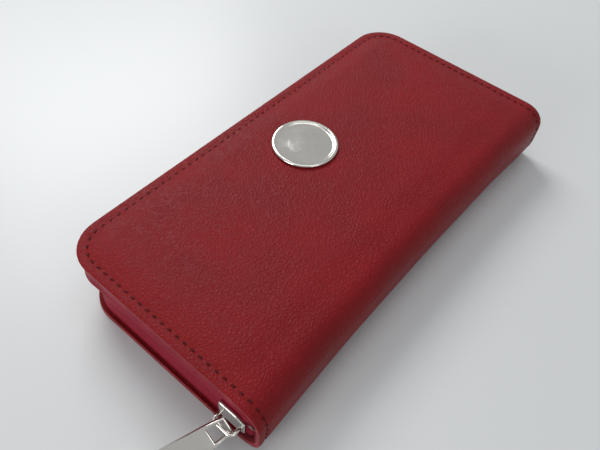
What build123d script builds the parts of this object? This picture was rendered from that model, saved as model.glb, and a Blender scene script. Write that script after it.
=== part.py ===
from build123d import *
import os
from math import cos, radians, sin

# Zip-around wristlet wallet, lying closed on its back cover with its zip undone.
# X runs along the wallet, Y from the opening edge to the spine, Z up. The origin is on the table, under
# the middle of the length. All sizes are in millimetres.

# ---- overall sizes ----
length = 195.0  # covers, end to end
open_edge = 47.5  # origin to the front cover's opening edge
spine_face = 48.5  # origin to the outside of the spine
height = 27.0  # table to the top of the front cover's rim

# ---- covers and spine ----
leather = 1.8  # cover leather, two skins glued together
front_corner = 15.0  # corner radius of the front cover
back_corner = 16.5  # corner radius of the back cover
back_setback = 3.7  # back cover's opening edge, behind the front cover's
spine_corner = 9.5  # outside radius where the spine turns into each cover
pad_rise = 0.9  # how far the padded field of the front cover stands up
pad_margin = 6.0  # rim left flat round the padded field
foam_gap = 0.2  # foam to the leather round it
pad_round = 0.8  # rounding of the pad's edge, as a share of its rise

# ---- boards and linings ----
board = 0.8  # stiffener board, and the zip tape beside it
lining = 0.6
board_margin = 8.6  # cover's edge to its stiffener
fit = 0.3  # room left between soft layers edge to edge

# ---- zip tape, coil and stops ----
tape = 0.8
tape_flange = 5.0  # width of tape sewn in between cover and lining
front_tape_inset = 1.2  # front cover's edge to its hanging tape
back_tape_inset = 3.0  # back cover's edge to its standing tape
mouth = 5.0  # open gap between the two rows of coil
coil = 1.6  # across the coil
coil_height = 1.4
stop_length = 1.6
stop_wall = 0.35

# ---- zip slider, in line with the mouth on the short side ----
slider_y = 37.5
slider_length = 11.6
slider_width = 9.0
slider_nose = 6.4  # width of the slider where it narrows to its tail
slider_plate = 1.2
slider_gap = 0.3  # plate to coil
slider_round = 1 / 9  # corner radius, as a share of the slider's width
slider_shoulder = 1 / 6  # middle to where a slider narrows, as a share of its length
slider_neck = 0.9  # widest nose of an inner plate, as a share of its width
plate_round = 0.4  # rounding of a plate's outer edge, as a share of its thickness
post_setback = 0.25  # post behind the slider's middle, as a share of its length
post_stretch = 0.2  # extra length of the post, as a share of the slider's
post = 2.4
bail_wire = 1.4
bail_span = 8.4  # between the centres of the bail's legs
bail_room = 3.5  # plate to the inside of the bail's bar
bail_bend = 1.1  # bend radius of a bail, in wire thicknesses

# ---- puller ----
pull_swing = 19.0  # turned from straight out towards the opening edge, in degrees
pull_droop = 15.3  # hangs down from level, in degrees
pull_roll = 43.8  # leans over on its long axis, in degrees
pull_reach = 36.0  # bail to the tail
pull_head = 2.5  # bail to the head's end
pull_head_half = 3.1  # half width of the head's end
pull_neck_half = 4.1
pull_tail_half = 6.8
pull_thick = 1.6
eye_half = 2.9
eye_back = 1.7  # bail to the end of the eye under the bail
eye_reach = 4.2
window_start = 22.0
window_margin = 2.0  # metal left round the tail's window
window_taper = 0.8  # window's narrow end, as a share of its wide end
eye_taper = 0.85
tail_round = 0.6  # corner radius of the tail, as a share of its half width

# ---- inside ----
pocket_sheet = 0.6  # bill panels and card pockets
pocket_half = 88.0  # half length of the panels
bill_mouth = 36.0  # origin to the bill panel's open edge
pocket_foot = 33.0  # origin to the seam that closes the pockets at the spine
first_card_mouth = 29.0
card_step = 9.0
card_pockets = 4
panel_corner = 4.0  # corner radius at the open edge of panels and pockets
leaf_thick = 5.2  # coin pocket over both its walls
leaf_wall = 0.8
leaf_half = 86.0
leaf_open = 35.2  # origin to the coin pocket's open edge
leaf_foot = 38.0
leaf_gusset = 1.0
leaf_strip = 0.8  # strip that joins the coin pocket to the spine

# ---- coin zip ----
coin_tape = 0.6
coin_tape_width = 1.6
coin_coil = 1.4
coin_coil_height = 0.6
coin_track = 0.6  # gap between the coin zip's rows of coil
coin_zip_half = 78.0
coin_slider_x = 68.0
coin_slider_length = 8.0
coin_slider_width = 6.8
coin_slider_taper = 0.7  # nose of the coin slider, as a share of its width
coin_plate = 0.9
coin_post = 0.4
coin_wire = 1.0
coin_span = 5.0
coin_room = 1.6
coin_pull_length = 20.0
coin_pull_half = 2.2
coin_pull_thick = 0.8
coin_head = 0.7  # half width of the bar across the coin puller's head

# ---- badge ----
badge_x = -2.2
badge_y = -17.0
badge_radius = 14.0
badge_thick = 1.4
badge_dish = 0.5
badge_rim = 1.6
badge_round = 0.4  # rounding of the rim, as a share of the badge's thickness
prong_width = 3.0
prong_thick = 0.5
prong_spacing = 12.0
prong_foot = 3.0
prong_play = 0.05
washer_length = 17.0
washer_width = 8.0
washer_thick = 0.35

# ---- worked out ----
half = length / 2
middle = height / 2
spine_start = spine_face - spine_corner
back_open = open_edge - back_setback
stack = leather + board + lining
front_under = height - leather
pad_top = height + pad_rise

os.makedirs("parts", exist_ok=True)


def cover_shape(inset, edge, corner, spine_end):
    """A cover's outline moved in by an inset: two corners rounded at the opening edge, square at the spine."""
    with Locations((0, (spine_end - edge + inset) / 2)):
        outline = Rectangle(length - 2 * inset, spine_end + edge - inset)
    fillet(outline.vertices().group_by(Axis.Y)[0], corner - inset)


def cavity_shape(skin):
    """Section of the room inside the wallet, a skin's thickness in from its outside, open to the front."""
    with Locations((spine_face - skin, middle)):
        room = Rectangle(length, height - 2 * skin, align=(Align.MAX, Align.CENTER))
    fillet(room.vertices().group_by(Axis.X)[-1], spine_corner - skin)


def finish_part(block, name):
    """Labels a finished piece and writes it."""
    block.part.label = name
    export_step(block.part, f"parts/{name}.step")


# ---- covers ----
with BuildPart() as back_cover:
    with BuildSketch():
        cover_shape(0, back_open, back_corner, spine_start)
    extrude(amount=leather)
finish_part(back_cover, "back_cover")

with BuildPart() as front_cover:
    with BuildSketch(Plane.XY.offset(front_under)):
        cover_shape(0, open_edge, front_corner, spine_start)
    extrude(amount=leather)
    with BuildSketch(Plane.XY.offset(height)):
        cover_shape(pad_margin, open_edge, front_corner, spine_start - pad_margin)
    extrude(amount=pad_rise)
    pad_edge = front_cover.faces().sort_by(Axis.Z)[-1].edges()
    fillet(pad_edge, pad_rise * pad_round)
    with BuildSketch(Plane.XY.offset(front_under)):
        cover_shape(pad_margin + leather, open_edge, front_corner, spine_start - pad_margin - leather)
    extrude(amount=pad_rise, mode=Mode.SUBTRACT)
    with BuildSketch(Plane.XY.offset(front_under)):
        with Locations((badge_x, badge_y)):
            with GridLocations(prong_spacing, 0, 2, 1):
                Rectangle(prong_thick + 2 * prong_play, prong_width + 2 * prong_play)
    extrude(amount=2 * leather, mode=Mode.SUBTRACT)
finish_part(front_cover, "front_cover")

def spine_skin(outside, thickness):
    """A skin round the spine, from a depth inside its outer face."""
    with BuildPart() as skin:
        with BuildSketch(Plane.YZ):
            cavity_shape(outside)
        extrude(amount=half, both=True)
        with BuildSketch(Plane.YZ):
            cavity_shape(outside + thickness)
        extrude(amount=half, both=True, mode=Mode.SUBTRACT)
        split(bisect_by=Plane.XZ.offset(-spine_start), keep=Keep.BOTTOM)
    return skin


finish_part(spine_skin(0, leather), "spine_cover")
finish_part(spine_skin(leather, lining), "spine_lining")


# ---- boards, foam and linings ----
def layer(inset, edge, corner, spine_end, low, thickness):
    """A flat layer inside a cover."""
    with BuildPart() as sheet:
        with BuildSketch(Plane.XY.offset(low)):
            cover_shape(inset, edge, corner, spine_end)
        extrude(amount=thickness)
    return sheet


board_end = spine_start - fit
back_board = layer(board_margin, back_open, back_corner, board_end, leather, board)
finish_part(back_board, "back_board")
front_board = layer(board_margin, open_edge, front_corner, board_end, front_under - board, board)
finish_part(front_board, "front_board")

back_lining_inset = back_tape_inset + tape + fit
back_lining = layer(back_lining_inset, back_open, back_corner, spine_start, leather + board, lining)
finish_part(back_lining, "back_lining")
front_lining_inset = front_tape_inset + tape + fit
front_lining = layer(front_lining_inset, open_edge, front_corner, spine_start, height - stack, lining)
finish_part(front_lining, "front_lining")

foam_inset = pad_margin + leather + foam_gap
with BuildPart() as front_foam:
    with BuildSketch(Plane.XY.offset(front_under)):
        cover_shape(foam_inset, open_edge, front_corner, spine_start - foam_inset)
        with Locations((badge_x, badge_y)):
            Rectangle(washer_length + 2 * fit, washer_width + 2 * fit, mode=Mode.SUBTRACT)
    extrude(amount=pad_rise)
finish_part(front_foam, "front_foam")


# ---- zip tapes and coils ----
def band(inset, width, edge, corner, spine_end, low, high, back_room):
    """A strip of a given width that follows a cover's three open edges and ends inside the spine."""
    with BuildPart() as strip:
        with BuildSketch(Plane.XY.offset(low)):
            cover_shape(inset, edge, corner, spine_end)
        extrude(amount=high - low)
        with BuildSketch(Plane.XY.offset(low)):
            cover_shape(inset + width, edge, corner, spine_face + spine_corner)
        extrude(amount=high - low, mode=Mode.SUBTRACT)
        with BuildSketch(Plane.YZ):
            cavity_shape(back_room)
            with Locations((spine_start, middle)):
                Rectangle(length, height, align=(Align.MAX, Align.CENTER))
        extrude(amount=half, both=True, mode=Mode.INTERSECT)
    return strip


def zip_tape(inset, edge, corner, web_low, web_high, flange_low):
    """Zip tape in an L section: a flange sewn in between cover and lining, and a web that shows."""
    web = band(inset, tape, edge, corner, spine_face, web_low, web_high, tape_room)
    flange_high = flange_low + board
    flange = band(inset, tape_flange, edge, corner, spine_start, flange_low, flange_high, leather)
    with BuildPart() as whole:
        add(web.part)
        add(flange.part)
    return whole


def zip_coil(inset, edge, corner, low):
    """Half of the zip's chain, along the free edge of a tape."""
    outer = inset + (tape - coil) / 2
    return band(outer, coil, edge, corner, spine_face, low, low + coil_height, coil_room)


tape_room = leather + lining + fit
coil_room = tape_room + stop_length
back_coil_low = middle - mouth / 2 - coil_height
front_coil_low = middle + mouth / 2

back_tape = zip_tape(back_tape_inset, back_open, back_corner, leather, back_coil_low, leather)
finish_part(back_tape, "back_zip_tape")
front_tape = zip_tape(
    front_tape_inset,
    open_edge,
    front_corner,
    front_coil_low + coil_height,
    front_under,
    front_under - board,
)
finish_part(front_tape, "front_zip_tape")
back_coil = zip_coil(back_tape_inset, back_open, back_corner, back_coil_low)
finish_part(back_coil, "back_zip_coil")
front_coil = zip_coil(front_tape_inset, open_edge, front_corner, front_coil_low)
finish_part(front_coil, "front_zip_coil")


def zip_stops(inset, low):
    """Two metal clips closed over the ends of one row of coil."""
    with BuildPart() as clips:
        with BuildSketch(Plane.XZ.offset(-(spine_face - coil_room))):
            with Locations((0, low + coil_height / 2)):
                with GridLocations(2 * (half - inset - tape / 2), 0, 2, 1):
                    Rectangle(coil + 2 * stop_wall, coil_height)
        extrude(amount=-stop_length)
    return clips


finish_part(zip_stops(back_tape_inset, back_coil_low), "back_zip_stops")
finish_part(zip_stops(front_tape_inset, front_coil_low), "front_zip_stops")


# ---- zip slider and puller ----
slider_outer = half - front_tape_inset - tape / 2 + coil / 2 + slider_gap
slider_inner = half - back_tape_inset - tape / 2 - coil / 2 - slider_gap
slider_x = (slider_outer + slider_inner) / 2


def slider_outline(long, wide, nose):
    """Shield outline of a zip slider in the current sketch, its wide end leading."""
    shield = Polygon(
        (-long / 2, -wide / 2),
        (long * slider_shoulder, -wide / 2),
        (long / 2, -nose / 2),
        (long / 2, nose / 2),
        (long * slider_shoulder, wide / 2),
        (-long / 2, wide / 2),
        align=None,
    )
    fillet(shield.vertices(), wide * slider_round)


def zip_slider(centre, gap, plate, long, wide, inner_wide, nose, pin):
    """A slider: plates each side of the coil and a post between them. The centre plane faces out."""
    with BuildPart() as slider:
        with BuildSketch(centre.offset(gap / 2)):
            slider_outline(long, wide, nose)
        extrude(amount=plate)
        outer_face = slider.faces().sort_by(Axis((0, 0, 0), centre.z_dir))[-1]
        fillet(outer_face.edges(), plate * plate_round)
        with BuildSketch(centre.offset(-gap / 2)):
            slider_outline(long, inner_wide, min(nose, inner_wide * slider_neck))
        extrude(amount=-plate)
        with BuildSketch(centre.offset(-gap / 2)):
            with Locations((-long * post_setback, 0)):
                SlotOverall(pin + long * post_stretch, pin)
        extrude(amount=gap)
    return slider


def zip_bail(base, span, wire, room):
    """The slider's bail: a square arch of round wire that stands on the slider's outer plate."""
    rise = room + wire / 2
    with BuildPart() as bail:
        with BuildLine():
            arch = FilletPolyline(
                base.from_local_coords((-span / 2, 0, 0)),
                base.from_local_coords((-span / 2, 0, rise)),
                base.from_local_coords((span / 2, 0, rise)),
                base.from_local_coords((span / 2, 0, 0)),
                radius=wire * bail_bend,
            )
        with BuildSketch(Plane(origin=arch @ 0, z_dir=base.z_dir)):
            Circle(wire / 2)
        sweep()
    return bail


slider_gap_wide = slider_outer - slider_inner
slider_plane = Plane(origin=(slider_x, slider_y, middle), x_dir=(0, 1, 0), z_dir=(1, 0, 0))
zip_slider_part = zip_slider(
    slider_plane,
    slider_gap_wide,
    slider_plate,
    slider_length,
    slider_width,
    slider_width,
    slider_nose,
    post,
)
finish_part(zip_slider_part, "zip_slider")
bail_plane = slider_plane.offset(slider_gap_wide / 2 + slider_plate)
finish_part(zip_bail(bail_plane, bail_span, bail_wire, bail_room), "zip_slider_bail")

# The puller hangs on the bail's bar, swung, drooped and rolled as its three angles say.
bail_bar = bail_plane.from_local_coords((0, 0, bail_room + bail_wire / 2))
pull_along = Vector(
    cos(radians(pull_droop)) * cos(radians(pull_swing)),
    -cos(radians(pull_droop)) * sin(radians(pull_swing)),
    -sin(radians(pull_droop)),
)
pull_face = (Vector(0, 0, 1) - pull_along * pull_along.Z).normalized()
pull_face = pull_face.rotate(Axis((0, 0, 0), pull_along), -pull_roll)
pull_plane = Plane(origin=bail_bar, x_dir=pull_along, z_dir=pull_face)


def puller(plane, thick):
    """Flat puller: an eye at its head, widening to a tail with a window."""
    window_end = pull_reach - window_margin
    window_half = pull_tail_half - window_margin
    with BuildPart() as tab:
        with BuildSketch(plane):
            outline = Polygon(
                (-pull_head, -pull_head_half),
                (eye_reach, -pull_neck_half),
                (pull_reach, -pull_tail_half),
                (pull_reach, pull_tail_half),
                (eye_reach, pull_neck_half),
                (-pull_head, pull_head_half),
                align=None,
            )
            fillet(outline.vertices().group_by(Axis.X)[-1], pull_tail_half * tail_round)
            Polygon(
                (-eye_back, -eye_half * eye_taper),
                (eye_reach, -eye_half),
                (eye_reach, eye_half),
                (-eye_back, eye_half * eye_taper),
                align=None,
                mode=Mode.SUBTRACT,
            )
            Polygon(
                (window_start, -window_half * window_taper),
                (window_end, -window_half),
                (window_end, window_half),
                (window_start, window_half * window_taper),
                align=None,
                mode=Mode.SUBTRACT,
            )
        extrude(amount=thick / 2, both=True)
    return tab


finish_part(puller(pull_plane, pull_thick), "zip_puller")


# ---- badge on the front cover ----
with BuildPart() as badge:
    with BuildSketch(Plane.XY.offset(pad_top)):
        with Locations((badge_x, badge_y)):
            Circle(badge_radius)
    extrude(amount=badge_thick)
    fillet(badge.edges().sort_by(Axis.Z)[-1], badge_thick * badge_round)
    with BuildSketch(Plane.XY.offset(pad_top + badge_thick - badge_dish)):
        with Locations((badge_x, badge_y)):
            Circle(badge_radius - badge_rim)
    extrude(amount=badge_dish, mode=Mode.SUBTRACT)
    prong_end = front_under + pad_rise - washer_thick - prong_thick
    with BuildSketch(Plane.XY.offset(prong_end)):
        with Locations((badge_x, badge_y)):
            with GridLocations(prong_spacing, 0, 2, 1):
                Rectangle(prong_thick, prong_width)
    extrude(amount=pad_top - prong_end)
    with BuildSketch(Plane.XY.offset(prong_end)):
        with Locations((badge_x, badge_y)):
            with GridLocations(prong_spacing - prong_foot, 0, 2, 1):
                Rectangle(prong_foot + prong_thick, prong_width)
    extrude(amount=prong_thick)
finish_part(badge, "badge")

with BuildPart() as badge_washer:
    with BuildSketch(Plane.XY.offset(front_under + pad_rise - washer_thick)):
        with Locations((badge_x, badge_y)):
            Rectangle(washer_length, washer_width)
            with GridLocations(prong_spacing, 0, 2, 1):
                Rectangle(prong_thick + 2 * prong_play, prong_width + 2 * prong_play, mode=Mode.SUBTRACT)
    extrude(amount=washer_thick)
finish_part(badge_washer, "badge_washer")


# ---- panels and card pockets ----
def panel(mouth_y, low):
    """A flat panel of pocket sheet, from its open edge to the seam near the spine."""
    with BuildPart() as flat:
        with BuildSketch(Plane.XY.offset(low)):
            with Locations((0, (pocket_foot - mouth_y) / 2)):
                Rectangle(2 * pocket_half, pocket_foot + mouth_y)
        extrude(amount=pocket_sheet)
        fillet(flat.edges().filter_by(Axis.Z).group_by(Axis.Y)[0], panel_corner)
    return flat


finish_part(panel(bill_mouth, stack), "back_bill_panel")
finish_part(panel(bill_mouth, height - stack - pocket_sheet), "front_bill_panel")
for number in range(1, card_pockets + 1):
    card_mouth = first_card_mouth - (number - 1) * card_step
    finish_part(panel(card_mouth, stack + number * pocket_sheet), f"back_card_pocket_{number}")
    front_low = height - stack - (number + 1) * pocket_sheet
    finish_part(panel(card_mouth, front_low), f"front_card_pocket_{number}")

# ---- coin pocket, a leaf sewn to the middle of the spine ----
leaf_low = middle - leaf_thick / 2


def leaf_layer(x_half, y_low, y_high, low, thick):
    """A block of the coin pocket, centred along the wallet."""
    with BuildPart() as block:
        with BuildSketch(Plane.XY.offset(low)):
            with Locations((0, (y_low + y_high) / 2)):
                Rectangle(2 * x_half, y_high - y_low)
        extrude(amount=thick)
    return block


finish_part(leaf_layer(leaf_half, -leaf_open, leaf_foot, leaf_low, leaf_wall), "coin_pocket_back_wall")
upper_wall_low = leaf_low + leaf_thick - leaf_wall
finish_part(leaf_layer(leaf_half, -leaf_open, leaf_foot, upper_wall_low, leaf_wall), "coin_pocket_front_wall")

pocket_room = leaf_thick - 2 * leaf_wall
with BuildPart() as coin_pocket_sides:
    with BuildSketch(Plane.XY.offset(leaf_low + leaf_wall)):
        with Locations((0, (leaf_foot - leaf_open) / 2)):
            with GridLocations(2 * leaf_half - leaf_gusset, 0, 2, 1):
                Rectangle(leaf_gusset, leaf_foot + leaf_open)
    extrude(amount=pocket_room)
finish_part(coin_pocket_sides, "coin_pocket_sides")

spine_room = spine_face - leather - lining - fit
with BuildPart() as coin_pocket_strip:
    with BuildSketch(Plane.XY.offset(leaf_low + leaf_wall)):
        with Locations((0, leaf_foot - leaf_gusset)):
            Rectangle(2 * (leaf_half - leaf_gusset), 2 * leaf_gusset)
    extrude(amount=pocket_room)
    with BuildSketch(Plane.XY.offset(middle - leaf_strip / 2)):
        with Locations((0, (leaf_foot + spine_room) / 2)):
            Rectangle(2 * leaf_half, spine_room - leaf_foot)
    extrude(amount=leaf_strip)
finish_part(coin_pocket_strip, "coin_pocket_strip")


# ---- coin zip ----
coin_face = -leaf_open


def coin_rows(wide, low, deep, front):
    """A pair of rows along the coin pocket's mouth, mirrored about the wallet's middle plane."""
    with BuildPart() as rows:
        with BuildSketch(Plane.XZ.offset(front)):
            with GridLocations(0, 2 * low + wide, 1, 2):
                with Locations((0, middle)):
                    Rectangle(2 * coin_zip_half, wide)
        extrude(amount=-deep)
    return rows


coil_row_low = coin_track / 2
tape_row_low = coil_row_low + coin_coil_height
coin_tape_front = leaf_open + coin_tape
finish_part(coin_rows(coin_tape_width, tape_row_low, coin_tape, coin_tape_front), "coin_zip_tapes")
coin_coil_front = leaf_open + coin_tape / 2 + coin_coil / 2
finish_part(coin_rows(coin_coil_height, coil_row_low, coin_coil, coin_coil_front), "coin_zip_coils")

coin_gap = coin_coil + 2 * slider_gap
coin_plane = Plane(
    origin=(coin_slider_x, coin_face - coin_tape / 2, middle),
    x_dir=(-1, 0, 0),
    z_dir=(0, -1, 0),
)
coin_inner_width = pocket_room - 2 * fit
coin_slider = zip_slider(
    coin_plane,
    coin_gap,
    coin_plate,
    coin_slider_length,
    coin_slider_width,
    coin_inner_width,
    coin_slider_width * coin_slider_taper,
    coin_post,
)
finish_part(coin_slider, "coin_zip_slider")
coin_bail_plane = coin_plane.offset(coin_gap / 2 + coin_plate)
finish_part(zip_bail(coin_bail_plane, coin_span, coin_wire, coin_room), "coin_zip_bail")

coin_pivot = coin_bail_plane.from_local_coords((0, 0, coin_room / 2))
coin_eye_end = coin_span / 2 + coin_wire / 2 + slider_gap
coin_eye_half = coin_wire / 2 + slider_gap
with BuildPart() as coin_puller:
    with BuildSketch(Plane(origin=coin_pivot, x_dir=(-1, 0, 0), z_dir=(0, -1, 0))):
        with Locations((coin_pull_length / 2 - coin_head, 0)):
            SlotOverall(coin_pull_length, 2 * coin_pull_half)
        with Locations(((coin_head + coin_eye_end) / 2, 0)):
            Rectangle(coin_eye_end - coin_head, 2 * coin_eye_half, mode=Mode.SUBTRACT)
    extrude(amount=coin_pull_thick / 2, both=True)
finish_part(coin_puller, "coin_zip_puller")
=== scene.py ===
from math import ceil, cos, exp, hypot, pi, radians, sin, tau

import bmesh
import bpy
from bpy.props import FloatProperty, FloatVectorProperty, PointerProperty
from mathutils import Matrix, Vector, noise


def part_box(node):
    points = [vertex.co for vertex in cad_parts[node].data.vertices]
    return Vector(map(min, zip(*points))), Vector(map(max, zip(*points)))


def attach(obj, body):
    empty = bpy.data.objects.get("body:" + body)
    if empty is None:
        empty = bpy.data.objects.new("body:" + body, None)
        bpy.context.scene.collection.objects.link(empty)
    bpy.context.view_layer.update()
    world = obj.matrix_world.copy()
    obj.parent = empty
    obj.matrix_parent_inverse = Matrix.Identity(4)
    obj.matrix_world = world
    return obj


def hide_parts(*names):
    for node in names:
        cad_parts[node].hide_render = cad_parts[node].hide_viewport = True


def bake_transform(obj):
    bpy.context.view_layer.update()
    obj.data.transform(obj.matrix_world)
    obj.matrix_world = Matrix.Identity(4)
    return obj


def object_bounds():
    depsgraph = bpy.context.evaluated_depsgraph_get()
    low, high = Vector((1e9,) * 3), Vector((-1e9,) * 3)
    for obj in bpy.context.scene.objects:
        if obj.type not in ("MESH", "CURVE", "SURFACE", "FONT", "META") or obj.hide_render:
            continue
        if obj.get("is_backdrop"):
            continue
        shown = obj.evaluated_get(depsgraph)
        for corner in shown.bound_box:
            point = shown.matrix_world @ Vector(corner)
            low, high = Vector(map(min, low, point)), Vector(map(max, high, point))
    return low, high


bl_info = {
    "name": "Zip-around Wallet",
    "version": (1, 0, 0),
    "blender": (4, 5, 0),
    "location": "3D View > Sidebar > Wallet",
    "description": "Dresses the wallet's construction model in leather, cloth, thread and nickel",
    "category": "Object",
}

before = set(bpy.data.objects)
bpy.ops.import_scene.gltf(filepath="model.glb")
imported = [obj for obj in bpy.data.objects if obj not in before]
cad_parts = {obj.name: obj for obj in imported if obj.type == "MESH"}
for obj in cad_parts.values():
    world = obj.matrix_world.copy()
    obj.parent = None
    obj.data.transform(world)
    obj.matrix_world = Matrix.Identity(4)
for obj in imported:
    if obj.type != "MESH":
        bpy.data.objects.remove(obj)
cad_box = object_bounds()
MM = 0.001

# Places that the construction model fixes, in metres.
front_low, front_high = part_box("front_cover")
back_low, back_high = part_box("back_cover")
spine_low, spine_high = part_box("spine_cover")
HALF = front_high.x  # half the wallet's length
FRONT_OPEN = front_low.y  # opening edge of the front cover
BACK_OPEN = back_low.y
SPINE_START = spine_low.y  # where the covers turn into the spine
SPINE_FACE = spine_high.y
TOP = spine_high.z
LEATHER = back_high.z
SPINE_RADIUS = SPINE_FACE - SPINE_START

# The outer leather is one sheet, measured along its wrap from the front cover's opening edge.
WRAP_FRONT = SPINE_START - FRONT_OPEN
WRAP_TURN = WRAP_FRONT + SPINE_RADIUS * pi / 2
WRAP_DOWN = WRAP_TURN + TOP - 2 * SPINE_RADIUS
WRAP_BACK = WRAP_DOWN + SPINE_RADIUS * pi / 2
WRAP_END = WRAP_BACK + SPINE_START - BACK_OPEN

BACK_BODY, FRONT_BODY, LEAF_BODY = "back_half", "front_half", "coin_pocket"

# How the soft pieces lie, in metres.
TURN_LINES = 10  # mesh lines in a rounded corner
RIM_LINES = (0.0, 0.0004, 0.0009, 0.0015, 0.0023, 0.003, 0.0037, 0.0044, 0.0053, 0.0065, 0.008, 0.01)
GROOVE_DEPTH, GROOVE_WIDTH = 0.00034, 0.00085  # where the stitches pull the leather down
EDGE_DROP, EDGE_WIDTH = 0.00028, 0.0012  # rim rolled down at its cut edge
HOLLOW_SHARE = 1.55  # how much deeper the spine falls in than its ends flare
FLARE_POWER = 2.2
SLACK_RISE, SLACK_SPAN = 0.00022, 0.034  # slow unevenness of the leather
RIPPLE_RISE, RIPPLE_SPAN = 0.00007, 0.011
TAPE_FLANGE, TAPE_ROLL = 0.0045, 0.00055  # tape sewn in, and its rolled free edge
TAPE_STEP, TAPE_THICK = 0.0013, 0.0006
BACK_TAPE_LEAN = 0.0012  # foot of the back tape, out from its top
PUCKER_WIDE, PUCKER_SLOW = 0.0003, 0.00022
LINING_THICK = 0.0006
WALL_SLACK = 0.00012
BEAD_GROUP = 40  # beads made at a time, because a large mesh takes each new one slowly


def linear(hex_colour):
    """sRGB hex to the linear RGBA that a shader takes."""
    channels = [int(hex_colour[i : i + 2], 16) / 255 for i in (0, 2, 4)]
    return [c / 12.92 if c <= 0.04045 else ((c + 0.055) / 1.055) ** 2.4 for c in channels] + [1.0]


def colour(name, hex_colour, description):
    return FloatVectorProperty(
        name=name, description=description, subtype="COLOR", size=4, min=0, max=1, default=linear(hex_colour)
    )


def distance(name, default, description):
    return FloatProperty(
        name=name, description=description, default=default, subtype="DISTANCE", unit="LENGTH"
    )


class WalletSizes(bpy.types.PropertyGroup):
    """Sizes that change the wallet's looks and leave its construction alone."""

    front_corner: distance("Front corner", 15 * MM, "Corner radius of the front cover")
    back_corner: distance("Back corner", 16.5 * MM, "Corner radius of the back cover")
    sheet_pitch: distance("Leather mesh", 2.5 * MM, "Spacing of the outer leather's mesh")
    pad_rise: distance("Pad rise", 0.95 * MM, "How far the padded field of the front cover stands up")
    pad_slope: distance("Pad slope", 8 * MM, "Width over which the padding rises from the stitched rim")
    spine_hollow: distance("Spine hollow", 0.9 * MM, "How far the spine falls in, and flares")
    stitch_inset: distance("Stitch inset", 3.7 * MM, "Rim stitching, in from the leather's edge")
    stitch_pitch: distance("Stitch pitch", 3.6 * MM, "From one rim stitch to the next")
    stitch_length: distance("Stitch length", 2.0 * MM, "Thread that shows of one stitch")
    thread: distance("Thread", 0.85 * MM, "Thickness of the sewing thread")
    pebble: distance("Pebble", 1.4 * MM, "Width of one pebble of the leather's grain")
    coil_pitch: distance("Coil pitch", 1.25 * MM, "From one turn of the zip's coil to the next")


class WalletColours(bpy.types.PropertyGroup):
    """The wallet's colours."""

    leather: colour("Leather", "7E181C", "Drum-dyed outer leather")
    edge: colour("Edge paint", "84262B", "Painted cut edge of the leather")
    tape: colour("Zip tape", "8E2234", "Woven zip tape")
    coil: colour("Zip coil", "70222C", "Nylon coil")
    thread: colour("Thread", "4E1014", "Rim sewing thread")
    lining: colour("Lining", "6A1F28", "Twill lining")
    pocket: colour("Pocket leather", "7C2A2E", "Smooth leather of panels and pockets")
    nickel: colour("Nickel", "CBC8C2", "Polished nickel plate")
    table: colour("Table", "CFD1D1", "Table under the wallet")


# ---- shader helpers ----
def add_node(tree, kind, inputs=None, **settings):
    """Adds a shader node, sets its properties, and sets or links its inputs."""
    made = tree.nodes.new(kind)
    for name, value in settings.items():
        setattr(made, name, value)
    for key, value in (inputs or {}).items():
        if isinstance(value, bpy.types.NodeSocket):
            tree.links.new(value, made.inputs[key])
        else:
            made.inputs[key].default_value = value
    return made


def start_material(name):
    """An empty node material and its tree."""
    made = bpy.data.materials.new(name)
    made.use_nodes = True
    made.node_tree.nodes.clear()
    return made, made.node_tree


def finish_material(tree, inputs):
    """Puts a Principled shader on the tree's output."""
    shader = add_node(tree, "ShaderNodeBsdfPrincipled", inputs)
    add_node(tree, "ShaderNodeOutputMaterial", {"Surface": shader.outputs[0]})
    return shader


def ramp(tree, factor, low, high, low_out=0.0, high_out=1.0):
    """A value carried from one range to another."""
    ranged = add_node(
        tree,
        "ShaderNodeMapRange",
        {"Value": factor, "From Min": low, "From Max": high, "To Min": low_out, "To Max": high_out},
        interpolation_type="SMOOTHSTEP",
    )
    return ranged.outputs["Result"]


def mixed(tree, factor, first, second):
    """Two colours mixed by a factor."""
    blend = add_node(tree, "ShaderNodeMix", {"Factor": factor, "A": first, "B": second}, data_type="RGBA")
    return blend.outputs["Result"]


def jittered(tree, coords, scale, amount, detail=2.0):
    """Coordinates shaken by noise, so that a cell pattern loses its regular look."""
    shake = add_node(tree, "ShaderNodeTexNoise", {"Vector": coords, "Scale": scale, "Detail": detail})
    centred = add_node(
        tree, "ShaderNodeVectorMath", {0: shake.outputs["Color"], 1: (0.5, 0.5, 0.5)}, operation="SUBTRACT"
    )
    sized = add_node(
        tree, "ShaderNodeVectorMath", {0: centred.outputs[0], "Scale": amount}, operation="SCALE"
    )
    moved = add_node(tree, "ShaderNodeVectorMath", {0: coords, 1: sized.outputs[0]}, operation="ADD")
    return moved.outputs[0]


def coordinates(tree, kind="Object"):
    return add_node(tree, "ShaderNodeTexCoord").outputs[kind]


def multiplied(tree, first, second, operation="MULTIPLY"):
    return add_node(tree, "ShaderNodeMath", {0: first, 1: second}, operation=operation).outputs[0]


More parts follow.
